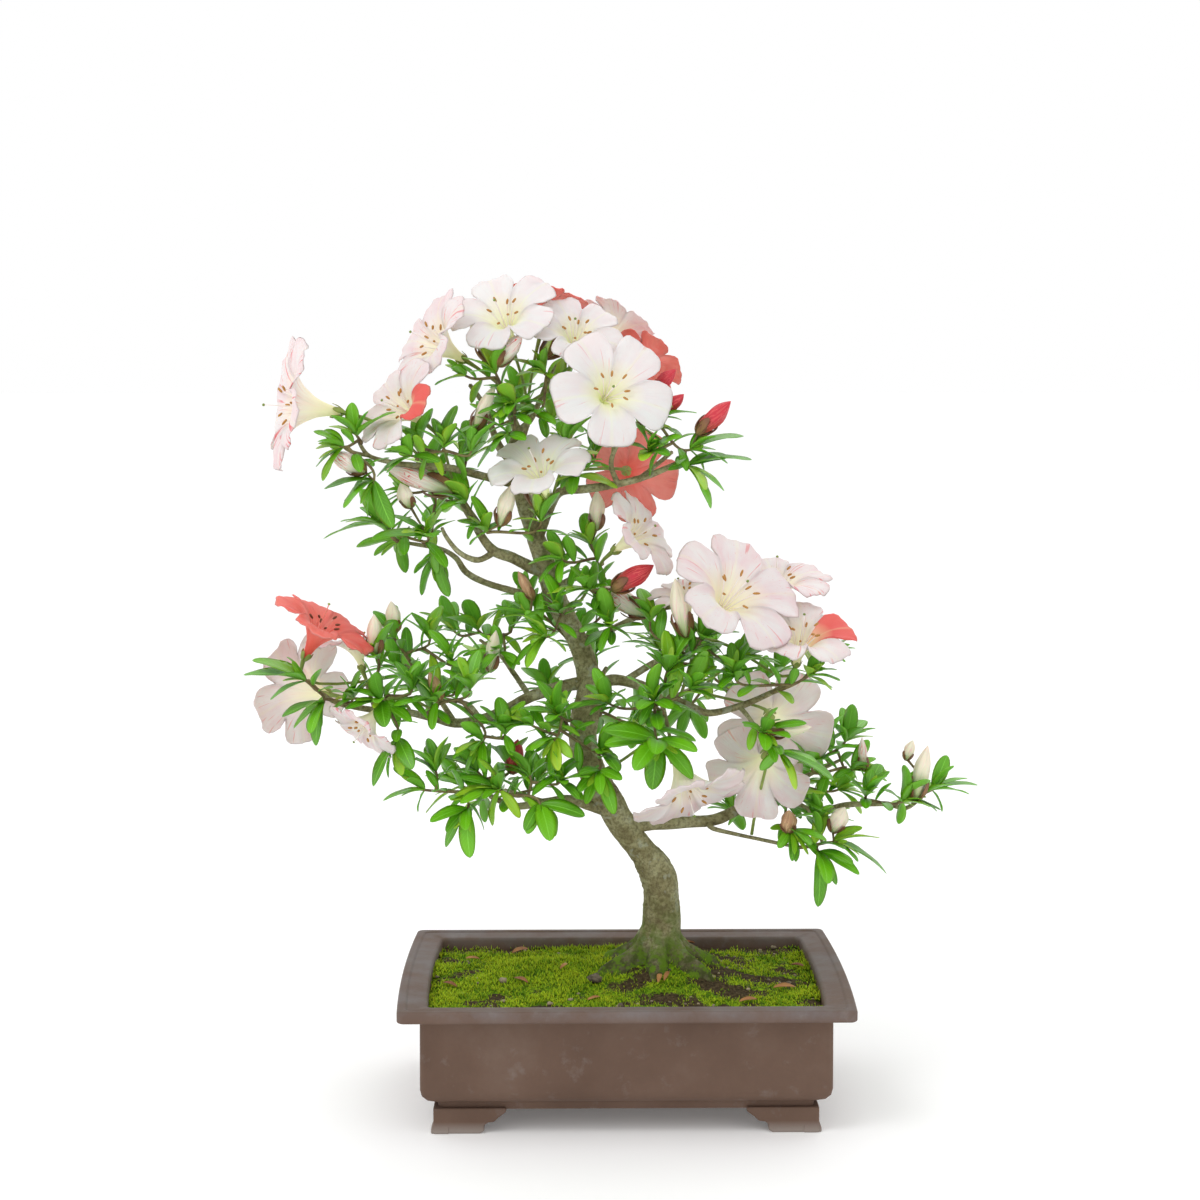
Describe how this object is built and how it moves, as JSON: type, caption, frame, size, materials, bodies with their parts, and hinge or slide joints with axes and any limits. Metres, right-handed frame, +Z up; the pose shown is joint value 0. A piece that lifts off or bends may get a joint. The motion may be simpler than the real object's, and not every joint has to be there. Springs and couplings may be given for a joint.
{
  "type": "potted bonsai tree",
  "caption": "Satsuki azalea bonsai with a curved trunk and white, pink and coral striped blooms, in a rectangular unglazed brown clay pot.",
  "frame": {"origin": "centre of the bounding box's bottom face, at the level of the pot's four soles", "axes": "+Z up along the trunk, +X along the pot's long side to the viewer's right, +Y away from the viewer along the short side"},
  "size_m": [0.4324, 0.1848, 0.4911],
  "materials": {
    "pot_clay": "matt",
    "soil_moss": "rough",
    "bark": "rough",
    "leaf": "satin",
    "petal_pink": "soft",
    "petal_white": "soft",
    "petal_red": "soft",
    "petal_mixed": "soft"
  },
  "bodies": {
    "root": {"bloom_behind_red": "petal_red", "bloom_big_white": "petal_white", "bloom_centre_white": "petal_white", "bloom_cluster_back": "petal_pink", "bloom_cluster_front": "petal_pink", "bloom_cluster_half_red": "petal_mixed", "bloom_cluster_left": "petal_mixed", "bloom_far_left": "petal_pink", "bloom_half_red": "petal_mixed", "bloom_hanging": "petal_pink", "bloom_left_back": "petal_pink", "bloom_left_nodding": "petal_pink", "bloom_left_red": "petal_red", "bloom_left_upright": "petal_pink", "bloom_low_back": "petal_pink", "bloom_low_under": "petal_pink", "bloom_mid_right": "petal_pink", "bloom_top_back": "petal_pink", "bloom_top_centre": "petal_white", "bloom_top_left": "petal_pink", "bloom_top_red": "petal_red", "bloom_top_right": "petal_white", "bloom_under_red": "petal_red", "pot": "pot_clay", "soil": "soil_moss", "spray_apex": "leaf", "spray_apex_rear": "leaf", "spray_apex_right": "leaf", "spray_left_arch": "leaf", "spray_left_arch_tip": "leaf", "spray_left_crown": "leaf", "spray_left_inner": "leaf", "spray_left_middle": "leaf", "spray_left_rear": "leaf", "spray_left_rise": "leaf", "spray_left_tip": "leaf", "spray_low_left_middle": "leaf", "spray_low_left_rear": "leaf", "spray_low_left_tip": "leaf", "spray_low_right_crown": "leaf", "spray_low_right_fall": "leaf", "spray_low_right_inner": "leaf", "spray_low_right_rear": "leaf", "spray_low_right_tip": "leaf", "spray_mid_inner": "leaf", "spray_right_front": "leaf", "spray_right_hang": "leaf", "spray_right_middle": "leaf", "spray_right_rear": "leaf", "spray_right_tip": "leaf", "spray_trunk_front": "leaf", "spray_trunk_middle": "leaf", "spray_trunk_middle_rear": "leaf", "spray_trunk_rear": "leaf", "spray_upper_left": "leaf", "spray_upper_left_tip": "leaf", "spray_upper_rear": "leaf", "spray_upper_right": "leaf", "spray_upper_right_inner": "leaf", "trunk": "bark"}
  },
  "joints": []
}
